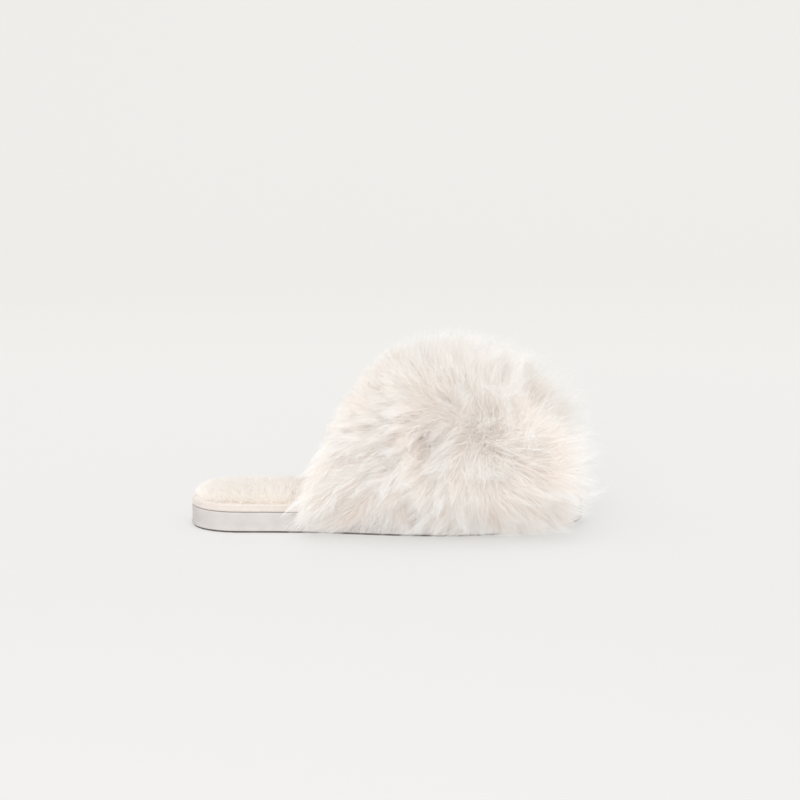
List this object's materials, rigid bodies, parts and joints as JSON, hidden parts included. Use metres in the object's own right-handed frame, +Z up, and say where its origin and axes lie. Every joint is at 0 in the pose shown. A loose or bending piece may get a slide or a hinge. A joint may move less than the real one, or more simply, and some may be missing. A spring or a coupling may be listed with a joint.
{
  "type": "house slipper",
  "caption": "Fluffy open-toe house slide with two crossing long-pile faux fur straps over a flat padded sole and a plush footbed.",
  "frame": {"origin": "middle of the whole slipper's bounding box, at the level of the floor it stands on", "axes": "+X from heel to toe along the sole, +Y towards the medial side, away from the lateral side, +Z up"},
  "size_m": [0.2618, 0.1662, 0.1296],
  "materials": {
    "outsole_rubber": "matte",
    "midsole_foam": "matte",
    "fibre_board": "matte",
    "padding_foam": "matte",
    "footbed_plush": "matte",
    "binding_fabric": "matte",
    "lining_fabric": "matte",
    "fur_ground": "matte",
    "long_fur": "matte"
  },
  "bodies": {
    "root": {"outsole": "outsole_rubber", "midsole": "midsole_foam", "insole_board": "fibre_board", "footbed_foam": "padding_foam", "footbed_plush_cover": "footbed_plush", "footbed_binding": "binding_fabric", "strap_under_lining": "lining_fabric", "strap_under_foam": "padding_foam", "strap_under_ground": "fur_ground", "strap_under_pile": "long_fur", "strap_over_lining": "lining_fabric", "strap_over_foam": "padding_foam", "strap_over_ground": "fur_ground", "strap_over_pile": "long_fur"}
  },
  "joints": []
}
